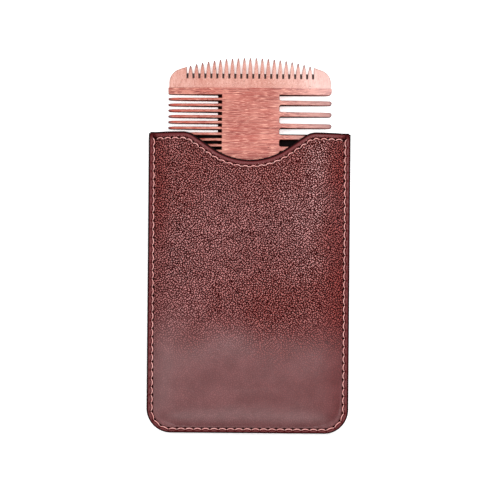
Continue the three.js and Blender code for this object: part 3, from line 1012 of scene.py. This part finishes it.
def slab(front, back, half_thickness, inner, ease):
    """A closed wooden piece between a front and a back outline, each point's edge eased by its own radius,
    and each point's painted edge shade: 0 on the faces and 1 on the walls."""
    eased = rounding(1, 4)
    rings = []
    for loop, over, steps in ((front, 1, eased), (back, -1, eased[::-1])):
        for inset, drop in steps:
            ring = inset_loop(loop, inset * ease + (CAP_MARGIN if drop == 0 else 0))
            rings.append(np.column_stack([ring, over * (half_thickness(*ring.T) - drop * ease)]))
    caps = []
    for ring, over in ((rings[0], 1), (rings[-1], -1)):
        flat = ring[:, :2]
        caps.append((filled(flat, inner), np.column_stack([inner, over * half_thickness(*inner.T)])))
    points, faces = capped(rings, caps[0][1], caps[1][1], caps[0][0], caps[1][0])
    ring_of = np.arange(len(points)) // len(front)
    shade = np.array([*EDGE_SHADE, *EDGE_SHADE[::-1], 0])
    return points, faces, shade[np.minimum(ring_of, len(shade) - 1)]


def comb_body(wood):
    end = BODY_HALF_LENGTH
    loops = []
    for right, left in zip(side_row(RIGHT_TEETH, 1), side_row(LEFT_TEETH, -1)):
        loops.append(np.vstack([
            [(COMB_HALF, -end)], right, [(COMB_HALF, end), (COLUMN_RIGHT, end), (COLUMN_LEFT, end)],
            [(-COMB_HALF, end)], left[::-1], [(-COMB_HALF, -end), (COLUMN_LEFT, -end), (COLUMN_RIGHT, -end)],
        ]))
    columns = np.linspace(COLUMN_LEFT + 2.0, COLUMN_RIGHT - 0.4, 13)
    rows = np.linspace(-end + 0.8, end - 0.8, 60)
    inner = np.array([(x, y) for x in columns for y in rows])
    x, y = np.abs(loops[0]).T
    rim = (y > COMB_LENGTH / 2 - SIDE_FIRST_SLOT + NEAR) & (x > COMB_HALF - RIGHT_TEETH["block_r"])
    ease = np.where(rim, RIM_EASED_EDGE, SIDE_TOOTH_EASED_EDGE)
    ease[y > end - NEAR] = JOINT_EASED_EDGE
    points, faces, wall = slab(loops[0], loops[1], lambda x, y: cross_profile(x), inner, ease)
    in_teeth = np.abs(points[:, 1]) < end - END_BAND
    tip = np.clip(1 - (COMB_HALF - np.abs(points[:, 0])) / SIDE_TIP_SHADE_REACH, 0, 1) * in_teeth
    # painted shade on the walls and eased edges, partly saw-cut end grain
    sawn = wall * np.where(in_teeth, 1, RIM_SHADE) * (np.abs(points[:, 1]) < end - NEAR)
    ruddy = np.clip((COLUMN_LEFT - points[:, 0]) / RUDDY_REACH, 0, 1) * in_teeth
    points = points + (0, COMB_MIDDLE, COMB_Z)
    piece = mesh_object("comb_body_wood", points, faces, wood, tip=tip, sawn=sawn, ruddy=ruddy)
    declare(piece, "comb", "comb_wood", "comb_body")


def end_outline(teeth, root_y):
    """An end piece's outline, anticlockwise from its lower right corner; its peak is at the origin."""
    corner_x = END_HALF - END_CORNER_R
    corner_rise = math.sqrt((ARCH_R - END_CORNER_R) ** 2 - corner_x**2)
    turn = math.atan2(corner_rise, corner_x)
    count, pitch = teeth["count"], teeth["pitch"]
    width = pitch - teeth["slot"]
    end = (count * pitch + teeth["slot"]) / 2
    to_slot = math.acos(end / ARCH_R)
    right = np.vstack([
        arc((corner_x, corner_rise - ARCH_R), END_CORNER_R, 0, turn, 0.5),
        arc((0, -ARCH_R), ARCH_R, turn, to_slot, 0.7)[1:],
    ])
    parts = [[(END_HALF, -END_LENGTH)], right, [(end, root_y)]]
    for i in reversed(range(count)):
        centre = (i - (count - 1) / 2) * pitch
        tip = arch_drop(centre)
        start = max(tip - teeth["point"], -teeth["depth"])
        parts.append(tooth(centre, width, root_y, start, tip, teeth))
    parts += [[(-end, root_y)], right[::-1] * (-1, 1), [(-END_HALF, -END_LENGTH)]]
    return np.vstack(parts)


def comb_end(name, node, teeth, wood, turned):
    front = end_outline(teeth, -teeth["depth"])
    back = end_outline(teeth, teeth["run_out"] - teeth["depth"])
    flat = lattice((-END_HALF, -END_LENGTH), (END_HALF, 0), 0.9)
    flat = Line(spaced(front, 0.3, closed=True), closed=True).well_inside(flat, 1.3)
    half_row = (teeth["count"] * teeth["pitch"] + teeth["slot"]) / 2
    flat = flat[(flat[:, 1] < -teeth["depth"]) | (np.abs(flat[:, 0]) > half_row + 1.2)]
    ease = np.where(np.abs(front[:, 0]) > half_row + 0.1, RIM_EASED_EDGE, END_TOOTH_EASED_EDGE)
    ease[front[:, 1] < NEAR - END_LENGTH] = JOINT_EASED_EDGE
    points, faces, wall = slab(front, back, end_profile, flat, ease)
    peak = np.sqrt(ARCH_R**2 - points[:, 0] ** 2) - ARCH_R
    tip = np.clip(1 - (peak - points[:, 1]) / END_TIP_SHADE_REACH, 0, 1)
    in_teeth = np.abs(points[:, 0]) < half_row + 0.05
    # painted shade on the walls and eased edges, partly saw-cut end grain
    sawn = wall * np.where(in_teeth, END_SAWN_SHADE, RIM_SHADE) * (points[:, 1] > NEAR - END_LENGTH)
    facing = -1 if turned else 1
    points = points * (facing, facing, 1) + (0, COMB_FOOT if turned else COMB_TOP, COMB_Z)
    piece = mesh_object(name, points, faces, wood, tip=tip * in_teeth, sawn=sawn)
    declare(piece, "comb", "comb_end_wood", node)


# ---------- studio ----------


def softbox(name, place, size, power, aim=(0, 0, 5)):
    """A rectangular soft light. Places and sizes are in millimetres."""
    light = bpy.data.lights.new(name, "AREA")
    light.shape = "RECTANGLE"
    light.size = size[0] * MM
    light.size_y = size[1] * MM
    light.energy = power
    lamp = bpy.data.objects.new(name, light)
    lamp.location = Vector(place) * MM
    lamp.rotation_euler = (Vector(aim) - Vector(place)).to_track_quat("-Z", "Y").to_euler()
    bpy.context.scene.collection.objects.link(lamp)


def studio():
    bpy.ops.mesh.primitive_plane_add(size=6, location=(0, 0, -0.00005))
    floor = bpy.context.object
    floor.name = "table"
    floor.data.materials.append(floor_material())
    world = bpy.data.worlds.new("studio")
    world.use_nodes = True
    world.node_tree.nodes["Background"].inputs[0].default_value = (1, 1, 1, 1)
    world.node_tree.nodes["Background"].inputs[1].default_value = 0.2
    bpy.context.scene.world = world
    softbox("key", (240, 330, 460), (240, 240), 1.42)
    softbox("fill", (-400, -140, 360), (300, 420), 0.5)
    softbox("right_sheen", (128, 70, 330), (80, 190), 0.58)
    softbox("left_sheen", (-128, 20, 330), (60, 240), 0.32)
    softbox("lip_sheen", (-260, 320, 400), (160, 160), 0.15)
    softbox("lower_sheen", (-20, -300, 300), (320, 120), 0.3)
    bpy.context.scene.view_settings.view_transform = "Standard"


def camera():
    data = bpy.data.cameras.new("camera")
    data.lens = 90
    data.clip_end = 10
    eye = bpy.data.objects.new("camera", data)
    eye.location = Vector((0.5, -1.67, 505)) * MM
    eye.rotation_euler = (0, 0, math.radians(0.5))
    bpy.context.scene.collection.objects.link(eye)
    bpy.context.scene.camera = eye


camera()
studio()

LEATHER_MATERIAL = leather_material()
LINING_MATERIAL = lining_material()
front_panel(LEATHER_MATERIAL)
back_panel(LEATHER_MATERIAL)
lining("front_lining_cloth", "front_lining", True, front_lift, FRONT_LINING_Z, LINING_MATERIAL)
lining("back_lining_cloth", "back_lining", False, back_lift, BACK_LINING_Z, LINING_MATERIAL)
edge_coats(edge_paint_material())
threads(thread_material())

BODY_WOOD = wood_material(
    "comb_wood", along_x=True, dark=rgb(152, 58, 45), mid=rgb(178, 80, 65), light=rgb(240, 170, 150),
    streak=rgb(126, 38, 28), painted_sheen=rgb(222, 174, 170), streak_length=15.0, contrast=0.95,
)
END_WOOD = wood_material(
    "comb_end_wood", along_x=False, dark=rgb(192, 124, 108), mid=rgb(210, 146, 130), light=rgb(236, 192, 180),
    streak=rgb(176, 100, 86), painted_sheen=rgb(236, 208, 204), streak_length=2.4, contrast=0.6,
)
comb_body(BODY_WOOD)
comb_end("comb_head_wood", "comb_head", HEAD_TEETH, END_WOOD, False)
comb_end("comb_foot_wood", "comb_foot", FOOT_TEETH, END_WOOD, True)
